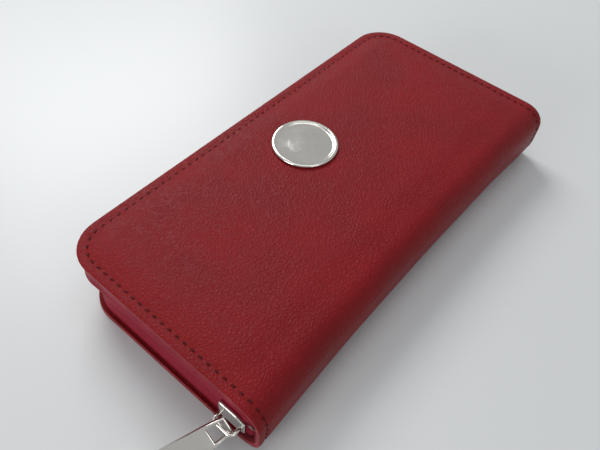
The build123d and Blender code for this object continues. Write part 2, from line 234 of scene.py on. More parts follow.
# ---- materials ----
def pebble_grained_leather(name, hue, pebble, relief, gloss, kind="UV"):
    """Drum-milled cowhide with a light finish: soft domed pebbles, painted shade in the creases between them,
    a broken satin shine.
    """
    made, tree = start_material(name)
    place = coordinates(tree, kind)
    loose = jittered(tree, place, 0.45 / pebble, 0.55 * pebble)
    cells = add_node(
        tree, "ShaderNodeTexVoronoi", {"Vector": loose, "Scale": 1 / pebble}, feature="DISTANCE_TO_EDGE"
    )
    small = add_node(
        tree, "ShaderNodeTexVoronoi", {"Vector": loose, "Scale": 2.3 / pebble}, feature="DISTANCE_TO_EDGE"
    )
    dome = ramp(tree, cells.outputs["Distance"], 0.0, 0.32)
    fine = ramp(tree, small.outputs["Distance"], 0.0, 0.3, high_out=0.35)
    height = multiplied(tree, dome, fine, "ADD")
    patches = add_node(tree, "ShaderNodeTexNoise", {"Vector": place, "Scale": 38.0, "Detail": 3.0})
    shade = mixed(
        tree, ramp(tree, patches.outputs["Fac"], 0.32, 0.68), darker(hue, 0.88), darker(hue, 1.1)
    )
    # painted shade: the colour darkens towards the cell edges, in the creases between the pebbles
    crease_shaded = mixed(tree, ramp(tree, cells.outputs["Distance"], 0.0, 0.16), darker(hue, 0.86), shade)
    shine = ramp(tree, patches.outputs["Fac"], 0.3, 0.7, gloss - 0.05, gloss + 0.07)
    bump = add_node(tree, "ShaderNodeBump", {"Height": height, "Distance": relief, "Strength": 0.62})
    finish_material(
        tree,
        {
            "Base Color": crease_shaded,
            "Roughness": shine,
            "Normal": bump.outputs[0],
            "Specular IOR Level": 0.1,
        },
    )
    return made


def edge_paint(hue):
    """Cut leather edge under two coats of acrylic paint: smooth and rounded, lighter where it is rubbed."""
    made, tree = start_material("edge_paint")
    place = coordinates(tree)
    streaks = add_node(tree, "ShaderNodeTexNoise", {"Vector": place, "Scale": 300.0, "Detail": 4.0})
    tone = mixed(tree, ramp(tree, streaks.outputs["Fac"], 0.35, 0.7), darker(hue, 0.8), darker(hue, 1.2))
    bump = add_node(tree, "ShaderNodeBump", {"Height": streaks.outputs["Fac"], "Distance": 0.00015})
    finish_material(
        tree, {"Base Color": tone, "Roughness": 0.4, "Normal": bump.outputs[0], "Specular IOR Level": 0.15}
    )
    return made


def woven_cloth(name, hue, thread_spacing, relief, gloss, diagonal=False):
    """Polyester woven from fine yarn: plain rows for zip tape, diagonal ribs for twill lining, with painted
    shade in the gaps between the yarns.
    """
    made, tree = start_material(name)
    place = coordinates(tree)
    if diagonal:
        turned = add_node(tree, "ShaderNodeMapping", {"Vector": place, "Rotation": (0.0, 0.0, pi / 4)})
        place = turned.outputs[0]
    pair = []
    for direction in ("X", "Y"):
        rows = add_node(
            tree,
            "ShaderNodeTexWave",
            {"Vector": place, "Scale": 0.314 / thread_spacing, "Distortion": 0.6, "Detail": 1.0},
            bands_direction=direction,
        )
        pair.append(rows.outputs["Fac"])
    weave = multiplied(tree, pair[0], pair[1], "MAXIMUM" if not diagonal else "MULTIPLY")
    cloudy = add_node(tree, "ShaderNodeTexNoise", {"Vector": place, "Scale": 60.0, "Detail": 3.0})
    base = mixed(tree, ramp(tree, cloudy.outputs["Fac"], 0.3, 0.7), darker(hue, 0.9), darker(hue, 1.1))
    # painted shade: the colour darkens where the weave is low, in the gaps between the yarns
    tone = mixed(tree, weave, darker(hue, 0.72), base)
    bump = add_node(tree, "ShaderNodeBump", {"Height": weave, "Distance": relief, "Strength": 0.7})
    finish_material(
        tree,
        {"Base Color": tone, "Roughness": gloss, "Normal": bump.outputs[0], "Specular IOR Level": 0.08},
    )
    return made


def twisted_thread(hue):
    """Bonded polyester sewing thread, three plies twisted: fine slanting lines of painted shade in the grooves
    and painted highlight on the crests, and a waxy shine.
    """
    made, tree = start_material("sewing_thread")
    plies = add_node(
        tree,
        "ShaderNodeTexWave",
        {"Vector": coordinates(tree), "Scale": 520.0, "Distortion": 1.0},
        bands_direction="DIAGONAL",
    )
    # painted shade in the grooves between the plies and painted highlight on their crests, from the same waves
    # as the bump
    tone = mixed(tree, plies.outputs["Fac"], darker(hue, 0.7), darker(hue, 1.25))
    bump = add_node(tree, "ShaderNodeBump", {"Height": plies.outputs["Fac"], "Distance": 0.0001})
    finish_material(
        tree, {"Base Color": tone, "Roughness": 0.6, "Normal": bump.outputs[0], "Specular IOR Level": 0.12}
    )
    return made


def moulded_nylon(hue):
    """Drawn nylon coil: even colour, rounded, softly shiny, a hair of roughness along the filament."""
    made, tree = start_material("nylon_coil")
    drawn = add_node(tree, "ShaderNodeTexNoise", {"Vector": coordinates(tree), "Scale": 900.0, "Detail": 2.0})
    tone = mixed(tree, drawn.outputs["Fac"], darker(hue, 0.85), darker(hue, 1.15))
    finish_material(tree, {"Base Color": tone, "Roughness": 0.32, "IOR": 1.53})
    return made


def nickel_plate(hue):
    """Polished zinc casting under nickel plate: mirror-bright, with faint buffing haze and handling marks."""
    made, tree = start_material("nickel_plate")
    place = coordinates(tree)
    haze = add_node(tree, "ShaderNodeTexNoise", {"Vector": place, "Scale": 160.0, "Detail": 4.0})
    stretched = add_node(tree, "ShaderNodeMapping", {"Vector": place, "Scale": (1.0, 9.0, 1.0)})
    marks = add_node(
        tree, "ShaderNodeTexNoise", {"Vector": stretched.outputs[0], "Scale": 420.0, "Detail": 5.0}
    )
    rough = ramp(tree, haze.outputs["Fac"], 0.3, 0.75, 0.07, 0.12)
    tone = mixed(tree, ramp(tree, marks.outputs["Fac"], 0.35, 0.6), darker(hue, 0.94), darker(hue, 1.0))
    bump = add_node(
        tree, "ShaderNodeBump", {"Height": marks.outputs["Fac"], "Distance": 0.00002, "Strength": 0.35}
    )
    finish_material(
        tree, {"Base Color": tone, "Metallic": 1.0, "Roughness": rough, "Normal": bump.outputs[0]}
    )
    return made


def pressed_board(name, hex_colour, grit):
    """Pressed fibre board or cut foam, hidden between leather and lining: matt and speckled."""
    made, tree = start_material(name)
    speckle = add_node(tree, "ShaderNodeTexNoise", {"Vector": coordinates(tree), "Scale": 1 / grit})
    hue = linear(hex_colour)
    tone = mixed(tree, ramp(tree, speckle.outputs["Fac"], 0.4, 0.6), darker(hue, 0.8), hue)
    bump = add_node(tree, "ShaderNodeBump", {"Height": speckle.outputs["Fac"], "Distance": grit / 4})
    finish_material(tree, {"Base Color": tone, "Roughness": 0.9, "Normal": bump.outputs[0]})
    return made


def darker(hue, factor):
    """A colour made darker or lighter, alpha kept."""
    return [min(1.0, channel * factor) for channel in list(hue)[:3]] + [1.0]


def material(name):
    """A finish of this wallet, made when it is first asked for."""
    if name in bpy.data.materials:
        return bpy.data.materials[name]
    sizes, colours = bpy.context.scene.wallet_sizes, bpy.context.scene.wallet_colours
    makers = {
        "grained_leather": lambda: pebble_grained_leather(
            "grained_leather", colours.leather, sizes.pebble, 0.00022, 0.4
        ),
        "smooth_leather": lambda: pebble_grained_leather(
            "smooth_leather", colours.pocket, sizes.pebble * 0.55, 0.00006, 0.44, "Object"
        ),
        "edge_paint": lambda: edge_paint(colours.edge),
        "zip_tape_cloth": lambda: woven_cloth("zip_tape_cloth", colours.tape, 0.00055, 0.00008, 0.42),
        "twill_lining": lambda: woven_cloth("twill_lining", colours.lining, 0.0007, 0.00006, 0.7, True),
        "sewing_thread": lambda: twisted_thread(colours.thread),
        "nylon_coil": lambda: moulded_nylon(colours.coil),
        "nickel_plate": lambda: nickel_plate(colours.nickel),
        "fibre_board": lambda: pressed_board("fibre_board", "8C8071", 0.0006),
        "cut_foam": lambda: pressed_board("cut_foam", "D8D2C4", 0.0009),
    }
    return makers[name]()


# ---- mesh helpers ----
def place_mesh(bm, name, finishes, body, nodes=()):
    """Turns a bmesh into a smooth-shaded piece at the origin, with its finishes and body, and hides the CAD
    nodes it stands for.
    """
    mesh = bpy.data.meshes.new(name)
    bm.to_mesh(mesh)
    bm.free()
    for finish in finishes:
        mesh.materials.append(material(finish))
    mesh.polygons.foreach_set("use_smooth", [True] * len(mesh.polygons))
    piece = bpy.data.objects.new(name, mesh)
    bpy.context.scene.collection.objects.link(piece)
    if nodes:
        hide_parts(*nodes)
    if body:
        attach(piece, body)
    return piece


def thicken(piece, thickness, rim=0, round_edge=0.0, offset=-1.0):
    """Gives a sheet its thickness and rounds its cut edge."""
    solid = piece.modifiers.new("thickness", "SOLIDIFY")
    solid.thickness = thickness
    solid.offset = offset
    solid.use_even_offset = False
    solid.material_offset_rim = rim
    if round_edge:
        soft = piece.modifiers.new("rounded_edge", "BEVEL")
        soft.width = round_edge
        soft.segments = 3
        soft.limit_method = "ANGLE"
        soft.angle_limit = radians(55)
        soft.material = -1


def stops(low, high, step, low_turn=0.0, high_turn=0.0, edge=0.0):
    """Places of grid lines from low to high: close together in the corner turns and near the edges."""
    sunk = [1 - cos(pi / 2 * i / TURN_LINES) for i in range(TURN_LINES)]
    places = [low + low_turn * depth for depth in sunk] if low_turn else []
    tail = [high - high_turn * depth for depth in sunk] if high_turn else []
    start, end = low + low_turn, high - high_turn
    if edge:
        places += [start + d for d in RIM_LINES if start + d < end] if not low_turn else []
        tail += [end - d for d in RIM_LINES if end - d > start] if not high_turn else []
        start = max(places) + step * 0.9 if places else start
        end = min(tail) - step * 0.9 if tail else end
    count = max(1, ceil((end - start) / step))
    places += [start + (end - start) * i / count for i in range(count + 1)]
    return sorted(set(places + tail))


def rounded_sheet(half, low, high, step, turns, lay, edge=0.0):
    """A grid cut to a rectangle with rounded corners and laid in place point by point.

    turns are the corner radii at the low and the high end, and lay gives a point its place."""
    rows = stops(low, high, step, turns[0], turns[1], edge)
    columns = stops(-half, half, step, 0, 0, edge)
    bm = bmesh.new()
    bmesh.ops.create_grid(bm, x_segments=len(columns) - 1, y_segments=len(rows) - 1, size=1)
    bm.verts.ensure_lookup_table()
    uv_layer = bm.loops.layers.uv.new("UVMap")
    flat = {}
    for index, vertex in enumerate(bm.verts):
        across, along = columns[index % len(columns)], rows[index // len(columns)]
        narrow = 0.0
        for radius, depth in ((turns[0], along - low), (turns[1], high - along)):
            if radius and depth < radius:
                narrow = radius - (max(0.0, radius**2 - (radius - depth) ** 2)) ** 0.5
        x = across * (half - narrow) / half
        flat[vertex] = (x, along)
        vertex.co = lay(x, along)
    for face in bm.faces:
        for loop in face.loops:
            loop[uv_layer].uv = flat[loop.vert]
    return bm


def edge_distance(x, y, half, low, corner):
    """How far a point is in from the cut edge at the low end and the two sides."""
    depth, side = y - low, half - abs(x)
    if depth < corner and side < corner:
        return corner - hypot(corner - depth, corner - side)
    return min(depth, side)


def beads(places, name, finish, body, nodes=(), detail=(8, 5)):
    """Many small rounded pieces, each set by its own matrix, as one mesh."""
    bm = bmesh.new()
    places = list(places)
    for first in range(0, len(places), BEAD_GROUP):
        few = bmesh.new()
        for matrix in places[first : first + BEAD_GROUP]:
            bmesh.ops.create_uvsphere(
                few, u_segments=detail[0], v_segments=detail[1], radius=0.5, matrix=matrix
            )
        passing = bpy.data.meshes.new("passing")
        few.to_mesh(passing)
        few.free()
        bm.from_mesh(passing)
        bpy.data.meshes.remove(passing)
    return place_mesh(bm, name, [finish], body, nodes)


def bead(centre, along, out, length, width, depth):
    """Matrix of a bead: its length runs along, its depth points out of the surface."""
    along = along.normalized()
    side = out.cross(along).normalized()
    turn = Matrix((along, side, side.cross(along) * -1)).transposed().to_4x4()
    return Matrix.Translation(centre) @ turn @ Matrix.Diagonal((length, width, depth, 1.0))


def waver(x, y, z, scale, seed):
    """A smooth random value of -1 to 1 at a place, the same at each run."""
    return noise.noise(Vector((x / scale + seed, y / scale - seed, z / scale)))


# ---- outer leather ----
def wrap_section(run):
    """Place (y, z) and outward direction of the outer leather, a distance along its wrap."""
    if run < WRAP_FRONT:
        return (FRONT_OPEN + run, TOP), (0.0, 1.0)
    if run < WRAP_TURN:
        angle = (run - WRAP_FRONT) / SPINE_RADIUS
        out = (sin(angle), cos(angle))
        return (SPINE_START + SPINE_RADIUS * out[0], TOP - SPINE_RADIUS + SPINE_RADIUS * out[1]), out
    if run < WRAP_DOWN:
        return (SPINE_FACE, TOP - SPINE_RADIUS - (run - WRAP_TURN)), (1.0, 0.0)
    if run < WRAP_BACK:
        angle = (run - WRAP_DOWN) / SPINE_RADIUS
        out = (cos(angle), -sin(angle))
        return (SPINE_START + SPINE_RADIUS * out[0], SPINE_RADIUS + SPINE_RADIUS * out[1]), out
    return (SPINE_START - (run - WRAP_BACK), 0.0), (0.0, -1.0)


def smooth_step(value, low, high):
    t = min(1.0, max(0.0, (value - low) / (high - low)))
    return t * t * (3 - 2 * t)


def spine_share(run):
    """1 in the middle of the spine, 0 on the flat covers."""
    middle = (WRAP_FRONT + WRAP_BACK) / 2
    reach = (WRAP_BACK - WRAP_FRONT) / 2
    return 1 - smooth_step(abs(run - middle), reach * 0.35, reach * 1.02)


def leather_rise(x, run, sizes):
    """How far the outer leather stands off its plain wrap: padding, stitched groove, hollow spine, slack."""
    front_gap = edge_distance(x, run, HALF, 0.0, sizes.front_corner)
    back_gap = edge_distance(x, WRAP_END - run, HALF, 0.0, sizes.back_corner)
    gap = min(front_gap, back_gap)
    rise = -GROOVE_DEPTH * exp(-(((gap - sizes.stitch_inset) / GROOVE_WIDTH) ** 2))
    rise -= EDGE_DROP * (1 - smooth_step(gap, 0, EDGE_WIDTH))
    to_spine = WRAP_FRONT - run
    if run < WRAP_FRONT:
        slope = sizes.pad_slope
        rise += sizes.pad_rise * smooth_step(front_gap, sizes.stitch_inset, sizes.stitch_inset + slope) * (
            smooth_step(to_spine, 0, slope * 1.6)
        )
    share = spine_share(run)
    flare = (abs(x) / HALF) ** FLARE_POWER
    rise += share * sizes.spine_hollow * (flare - HOLLOW_SHARE * (1 - flare))
    if run < WRAP_BACK:
        calm = smooth_step(gap, 0.0005, 0.006)
        rise += calm * SLACK_RISE * waver(x, run, 0, SLACK_SPAN, 3.1)
        rise += calm * RIPPLE_RISE * waver(x, run, 0, RIPPLE_SPAN, 7.7)
    return rise


def leather_point(x, run, sizes, lift=0.0):
    (y, z), out = wrap_section(run)
    rise = leather_rise(x, run, sizes) + lift
    return Vector((x, y + out[0] * rise, max(z + out[1] * rise, 0.0)))


class WALLET_OT_outer_leather(bpy.types.Operator):
    """One sheet of grained leather: padded front cover, spine and back cover"""

    bl_idname = "wallet.outer_leather"
    bl_label = "Outer leather"

    def execute(self, context):
        sizes = context.scene.wallet_sizes
        bm = rounded_sheet(
            HALF,
            0.0,
            WRAP_END,
            sizes.sheet_pitch,
            (sizes.front_corner, sizes.back_corner),
            lambda x, run: leather_point(x, run, sizes),
            edge=1.0,
        )
        piece = place_mesh(
            bm,
            "outer_leather",
            ["grained_leather", "edge_paint"],
            None,
            ("front_cover", "spine_cover", "back_cover"),
        )
        thicken(piece, LEATHER - 0.00005, rim=1, round_edge=0.00055)
        blend_over_spine(piece)
        return {"FINISHED"}


def blend_over_spine(piece):
    """Bakes the piece's transform into its mesh; it is attached to neither half."""
    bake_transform(piece)


def rim_runs(sizes):
    """Each rim stitch: its place across and along the wrap, and its direction in the flat sheet."""
    inset, pitch = sizes.stitch_inset, sizes.stitch_pitch
    for end, sense, corner, reach in (
        (0.0, 1, sizes.front_corner, (WRAP_FRONT + WRAP_BACK) / 2),
        (WRAP_END, -1, sizes.back_corner, WRAP_END - (WRAP_FRONT + WRAP_BACK) / 2),
    ):
        radius = corner - inset
        side, turn = reach - corner, radius * pi / 2
        straight = 2 * (HALF - corner)
        total = 2 * side + 2 * turn + straight
        count = round(total / pitch)
        for i in range(count):
            run = (i + 0.5) * total / count
            if run < side:
                spot, way = (HALF - inset, reach - run), (0, -1)
            elif run < side + turn:
                angle = (run - side) / radius
                spot = (HALF - corner + radius * cos(angle), corner - radius * sin(angle))
                way = (-sin(angle), -cos(angle))
            elif run < side + turn + straight:
                spot, way = (HALF - corner - (run - side - turn), inset), (-1, 0)
            elif run < side + 2 * turn + straight:
                angle = (run - side - turn - straight) / radius
                spot = (corner - HALF - radius * sin(angle), corner - radius * cos(angle))
                way = (-cos(angle), sin(angle))
            else:
                spot, way = (inset - HALF, run - side - 2 * turn - straight + corner), (0, 1)
            yield spot[0], end + sense * spot[1], way[0], sense * way[1]


class WALLET_OT_rim_stitches(bpy.types.Operator):
    """Waxed thread stitches round the leather's rim"""

    bl_idname = "wallet.rim_stitches"
    bl_label = "Rim stitches"

    def execute(self, context):
        sizes = context.scene.wallet_sizes
        step = sizes.stitch_length / 2
        places = []
        for x, run, across, along in rim_runs(sizes):
            ends = [leather_point(x + s * across * step, run + s * along * step, sizes) for s in (-1, 1)]
            out = Vector((0, *wrap_section(run)[1]))
            centre = (ends[0] + ends[1]) / 2 + out * sizes.thread * 0.12
            if run > WRAP_BACK:
                centre.z = sizes.thread * 0.36
            way = (ends[1] - ends[0]).normalized()
            slant = way + 0.1 * out.cross(way)
            places.append(bead(centre, slant, out, sizes.stitch_length, sizes.thread, sizes.thread * 0.7))
        piece = beads(places, "rim_stitches", "sewing_thread", None)
        blend_over_spine(piece)
        return {"FINISHED"}


# ---- zip: tapes and coils ----
def rim_path(inset, open_y, corner, reach_y):
    """A cover's open rim seen from above, moved in by an inset: its length, and its place and outward way."""
    radius = corner - inset
    side = reach_y - (open_y + corner)
    straight, turn = 2 * (HALF - corner), radius * pi / 2
    total = 2 * side + 2 * turn + straight

    def at(run):
        if run < side:
            return (HALF - inset, reach_y - run), (1.0, 0.0)
        run -= side
        if run < turn:
            angle = run / radius
            out = (cos(angle), -sin(angle))
            return (HALF - corner + radius * out[0], open_y + corner + radius * out[1]), out
        run -= turn
        if run < straight:
            return (HALF - corner - run, open_y + inset), (0.0, -1.0)
        run -= straight
        if run < turn:
            angle = run / radius
            out = (-sin(angle), -cos(angle))
            return (corner - HALF + radius * out[0], open_y + corner + radius * out[1]), out
        run -= turn
        return (inset - HALF, open_y + corner + run), (-1.0, 0.0)

    return total, at


def tape_profile(flange, sewn, low, roll):
    """Cross-section of a hanging tape, outward and up: sewn flange, turn, web and rolled free edge."""
    web = sewn - low
    return [
        (-flange, sewn),
        (-flange * 0.5, sewn),
        (-0.0008, sewn - 0.00002),
        (-0.0002, sewn - 0.0002),
        (0.0, sewn - 0.0007),
        (0.0001, sewn - web * 0.25),
        (0.00015, sewn - web * 0.42),
        (0.0001, sewn - web * 0.58),
        (0.0001, low + 0.0024),
        (roll * 0.6, low + 0.0018),
        (roll, low + 0.0012),
        (roll * 0.9, low + 0.0006),
        (roll * 0.4, low + 0.0001),
        (-roll * 0.3, low - 0.0001),
    ]


def pucker(run, seed):
    """Wave of a tape that is sewn round with a little slack, about every 10 mm, never the same twice."""
    wide = noise.noise(Vector((run / 0.0065, seed, 0.0)))
    slow = noise.noise(Vector((run / 0.021, seed + 5.0, 0.0)))
    return PUCKER_WIDE * wide + PUCKER_SLOW * slow


def zip_tape_mesh(inset, open_y, corner, flip, low, sewn, reach_y, seed):
    """A tape round three sides of a cover. flip mirrors it for the back cover, where the tape stands up."""
    total, at = rim_path(inset, open_y, corner, reach_y)
    profile = tape_profile(TAPE_FLANGE, sewn, low, TAPE_ROLL)
    count = ceil(total / TAPE_STEP)
    bm = bmesh.new()
    bmesh.ops.create_grid(bm, x_segments=len(profile) - 1, y_segments=count, size=1)
    bm.verts.ensure_lookup_table()
    limit = SPINE_RADIUS - LEATHER - 0.0011
    centre_z = TOP - SPINE_RADIUS
    for index, vertex in enumerate(bm.verts):
        outward, z = profile[index % len(profile)]
        run = total * (index // len(profile)) / count
        (x, y), out = at(run)
        fall = smooth_step(sewn - z, 0.0008, 0.004) * (1 - 0.4 * smooth_step(sewn - z, 0.006, 0.009))
        outward += pucker(run, seed) * fall
        if flip:
            outward += BACK_TAPE_LEAN * (1 - smooth_step(sewn - z, 0.0008, 0.0072))
        z += 0.00022 * noise.noise(Vector((run / 0.012, seed + 9.0, 0.0))) * fall
        past = y - SPINE_START
        if past > 0:
            roof = centre_z + (max(0.0, limit**2 - past**2)) ** 0.5
            z = min(z, roof)
            tip = smooth_step(past, limit * 0.45, limit * 0.98)
            z = z + (max(roof - 0.0022, low) - z) * tip if z < roof - 0.0022 else z
        z = TOP - z if flip else z
        vertex.co = (x + out[0] * outward, y + out[1] * outward, z)
    return bm


def coil_places(inset, open_y, corner, low, pitch, reach_y):
    total, at = rim_path(inset, open_y, corner, reach_y)
    count = round(total / pitch)
    for i in range(count):
        (x, y), out = at((i + 0.5) * total / count)
        outward = Vector((out[0], out[1], 0))
        centre = Vector((x, y, low + 0.0007)) - outward * 0.0004
        yield bead(centre, outward, Vector((0, 0, 1)), 0.0016, pitch * 0.82, 0.0014)


class WALLET_OT_zip(bpy.types.Operator):
    """The open zip: two sewn tapes with puckers and a rolled edge, and their nylon coils"""

    bl_idname = "wallet.zip"
    bl_label = "Zip tapes and coils"

    def execute(self, context):
        sizes = context.scene.wallet_sizes
        front_coil, back_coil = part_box("front_zip_coil"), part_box("back_zip_coil")
        front_inset, back_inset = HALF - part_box("front_zip_tape")[1].x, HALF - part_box("back_zip_tape")[1].x
        reach = front_coil[1].y
        rows = (
            ("front", FRONT_BODY, FRONT_OPEN, sizes.front_corner, front_inset, False, front_coil[0].z, 2.0),
            ("back", BACK_BODY, BACK_OPEN, sizes.back_corner, back_inset, True, TOP - back_coil[1].z, 6.0),
        )
        for side, body, open_y, corner, inset, flip, low, seed in rows:
            sewn = TOP - LEATHER - 0.0001
            bm = zip_tape_mesh(inset, open_y, corner, flip, low, sewn, reach + 0.0012, seed)
            if not flip:
                bmesh.ops.reverse_faces(bm, faces=bm.faces)
            tape = place_mesh(
                bm, f"{side}_zip_tape_cloth", ["zip_tape_cloth"], body, (f"{side}_zip_tape",)
            )
            thicken(tape, TAPE_THICK)
            coil_low = TOP - low - 0.0014 if flip else low
            beads(
                coil_places(inset, open_y, corner, coil_low, sizes.coil_pitch, reach - 0.0016),
                f"{side}_zip_coil_turns",
                "nylon_coil",
                body,
                (f"{side}_zip_coil",),
                (6, 5),
            )
        return {"FINISHED"}


# ---- metal ----
def bevelled(bm, width, segments=3, angle=30):
    """Rounds every sharp edge of a solid."""
    sharp = [e for e in bm.edges if e.is_manifold and e.calc_face_angle(0) > radians(angle)]
    bmesh.ops.bevel(
        bm,
        geom=sharp,
        offset=width,
        offset_type="OFFSET",
        affect="EDGES",
        segments=segments,
        profile=0.5,
        material=-1,
        clamp_overlap=True,
    )


class WALLET_OT_badge(bpy.types.Operator):
    """Plain round nickel badge with a raised rim and a dished field"""

    bl_idname = "wallet.badge"
    bl_label = "Badge"

    def execute(self, context):
        low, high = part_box("badge")
        radius, centre = (high.x - low.x) / 2, (low + high) / 2
        top, foot = high.z, high.z - 0.0014
        profile = [
            (0.0, foot),
            (radius - 0.0004, foot),
            (radius, foot + 0.0003),
            (radius, top - 0.0005),
            (radius - 0.00015, top - 0.00018),
            (radius - 0.0005, top),
            (radius - 0.0012, top),
            (radius - 0.0015, top - 0.00012),
            (radius - 0.0018, top - 0.00042),
            (radius - 0.0024, top - 0.0005),
            (radius * 0.5, top - 0.00034),
            (0.0, top - 0.00028),
        ]
        bm = bmesh.new()
        points = [bm.verts.new((centre.x + r, centre.y, z)) for r, z in profile]
        edges = [bm.edges.new(pair) for pair in zip(points, points[1:])]
        bmesh.ops.spin(
            bm,
            geom=points + edges,
            cent=(centre.x, centre.y, 0),
            axis=(0, 0, 1),
            angle=tau,
            steps=96,
            use_merge=True,
            use_duplicate=False,
        )
        bmesh.ops.remove_doubles(bm, verts=bm.verts, dist=1e-6)
        bmesh.ops.recalc_face_normals(bm, faces=bm.faces)
        place_mesh(bm, "badge_disc", ["nickel_plate"], FRONT_BODY, ("badge",))
        return {"FINISHED"}


def merged_copy(node):
    """A welded copy of a CAD node's mesh, flat faces joined."""
    bm = bmesh.new()
    bm.from_mesh(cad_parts[node].data)
    bmesh.ops.remove_doubles(bm, verts=bm.verts, dist=1e-6)
    bmesh.ops.dissolve_limit(
        bm, angle_limit=radians(1), use_dissolve_boundaries=False, verts=bm.verts, edges=bm.edges
    )
    return bm


class WALLET_OT_zip_metal(bpy.types.Operator):
    """Sliders, bails, pullers and end stops in polished nickel, with rounded edges"""

    bl_idname = "wallet.zip_metal"
    bl_label = "Sliders and pullers"

    def execute(self, context):
        bm = merged_copy("zip_puller")
        bevelled(bm, 0.00042, 3, 25)
        puller = place_mesh(bm, "wrist_puller", ["nickel_plate"], "zip_puller", ("zip_puller",))
        puller.data.set_sharp_from_angle(angle=radians(40))
        for node, body in (("coin_zip_puller", "coin_zip_puller"), ("zip_slider", "zip_slider")):
            bm = merged_copy(node)
            bevelled(bm, 0.00015, 2, 40)
            piece = place_mesh(bm, f"{node}_casting", ["nickel_plate"], body, (node,))
            piece.data.set_sharp_from_angle(angle=radians(35))
        kept = ("zip_slider_bail", "coin_zip_slider", "coin_zip_bail", "front_zip_stops", "back_zip_stops")
        for node in kept + ("badge_washer",):
            finish_node(node, "nickel_plate")
        return {"FINISHED"}


def finish_node(node, finish):
    """Gives a CAD node that stays a finish."""
    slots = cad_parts[node].data.materials
    slots.clear()
    slots.append(material(finish))


# ---- inside ----
def slab_place(low, high, upward, waves, hem, seed):
    """How a flat lining or panel lies: soft waves, and a folded hem along its open edge."""

    def lay(x, y):
        inward = 1.0 if upward else -1.0
        base = low.z if upward else high.z
        calm = smooth_step(min(y - low.y, high.y - y, high.x - abs(x)), 0.001, 0.012)
        wave = calm * waves * (0.5 + 0.5 * waver(x, y, 0, 0.028, seed))
        groove = -0.00012 * exp(-(((y - low.y - 0.0022) / 0.0007) ** 2)) if hem else 0.0
        return Vector((x, y, base + inward * (wave + groove)))

    return lay


def lay_slab(name, node, body, finish, upward, waves, corner, thickness, hem):
    """A lining, panel or pocket: one sheet laid where its CAD solid lies, in its finish, with the CAD solid
    hidden.
    """
    low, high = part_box(node)
    bm = rounded_sheet(
        high.x, low.y, high.y, 0.003, (corner, 0.0), slab_place(low, high, upward, waves, hem, len(name)), 1.0
    )
    if not upward:
        bmesh.ops.reverse_faces(bm, faces=bm.faces)
    piece = place_mesh(bm, name, [finish], body, (node,))
    thicken(piece, thickness, round_edge=thickness * 0.3, offset=1.0)
    return piece


class WALLET_OT_linings(bpy.types.Operator):
    """Twill linings of the two halves and of the spine"""

    bl_idname = "wallet.linings"
    bl_label = "Linings"

    def execute(self, context):
        sizes = context.scene.wallet_sizes
        front_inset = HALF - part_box("front_lining")[1].x
        back_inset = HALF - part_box("back_lining")[1].x
        lay_slab(
            "front_twill_lining", "front_lining", FRONT_BODY, "twill_lining", False, 0.0,
            sizes.front_corner - front_inset, 0.0006, False,
        )
        lay_slab(
            "back_twill_lining", "back_lining", BACK_BODY, "twill_lining", True, 0.0,
            sizes.back_corner - back_inset, 0.0006, False,
        )
        bm = rounded_sheet(
            HALF - 0.0004,
            WRAP_FRONT,
            WRAP_BACK,
            sizes.sheet_pitch,
            (0.0, 0.0),
            lambda x, run: leather_point(x, run, sizes, -LEATHER),
        )
        piece = place_mesh(
            bm, "spine_twill_lining", ["twill_lining"], None, ("spine_lining",)
        )
        thicken(piece, LINING_THICK)
        blend_over_spine(piece)
        return {"FINISHED"}


def hem_stitches(node, upward, thread, pitch):
    """Stitch places along a pocket's open edge."""
    low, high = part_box(node)
    face = high.z if upward else low.z
    out = Vector((0, 0, 1 if upward else -1))
    count = round((2 * high.x - 0.012) / pitch)
    for i in range(count):
        x = -high.x + 0.006 + (i + 0.5) * (2 * high.x - 0.012) / count
        centre = Vector((x, low.y + 0.0022, face)) + out * thread * 0.05
        yield bead(centre, Vector((1, 0, 0)), out, pitch * 0.62, thread * 0.55, thread * 0.4)


class WALLET_OT_pockets(bpy.types.Operator):
    """Bill panels and card pockets in smooth leather, with a sewn line along each mouth"""

    bl_idname = "wallet.pockets"
    bl_label = "Bill panels and card pockets"

    def execute(self, context):
        sizes = context.scene.wallet_sizes
        for side, body, upward in (("back", BACK_BODY, True), ("front", FRONT_BODY, False)):
            panels = [f"{side}_bill_panel"] + [f"{side}_card_pocket_{n}" for n in range(1, 5)]
            places = []
            for node in panels:
                lay_slab(
                    f"{node}_leather", node, body, "smooth_leather", upward, 0.00004,
                    0.004, 0.00055, True,
                )
                places += hem_stitches(node, upward, sizes.thread, 0.003)
            beads(places, f"{side}_pocket_stitches", "sewing_thread", body, (), (6, 4))
        return {"FINISHED"}


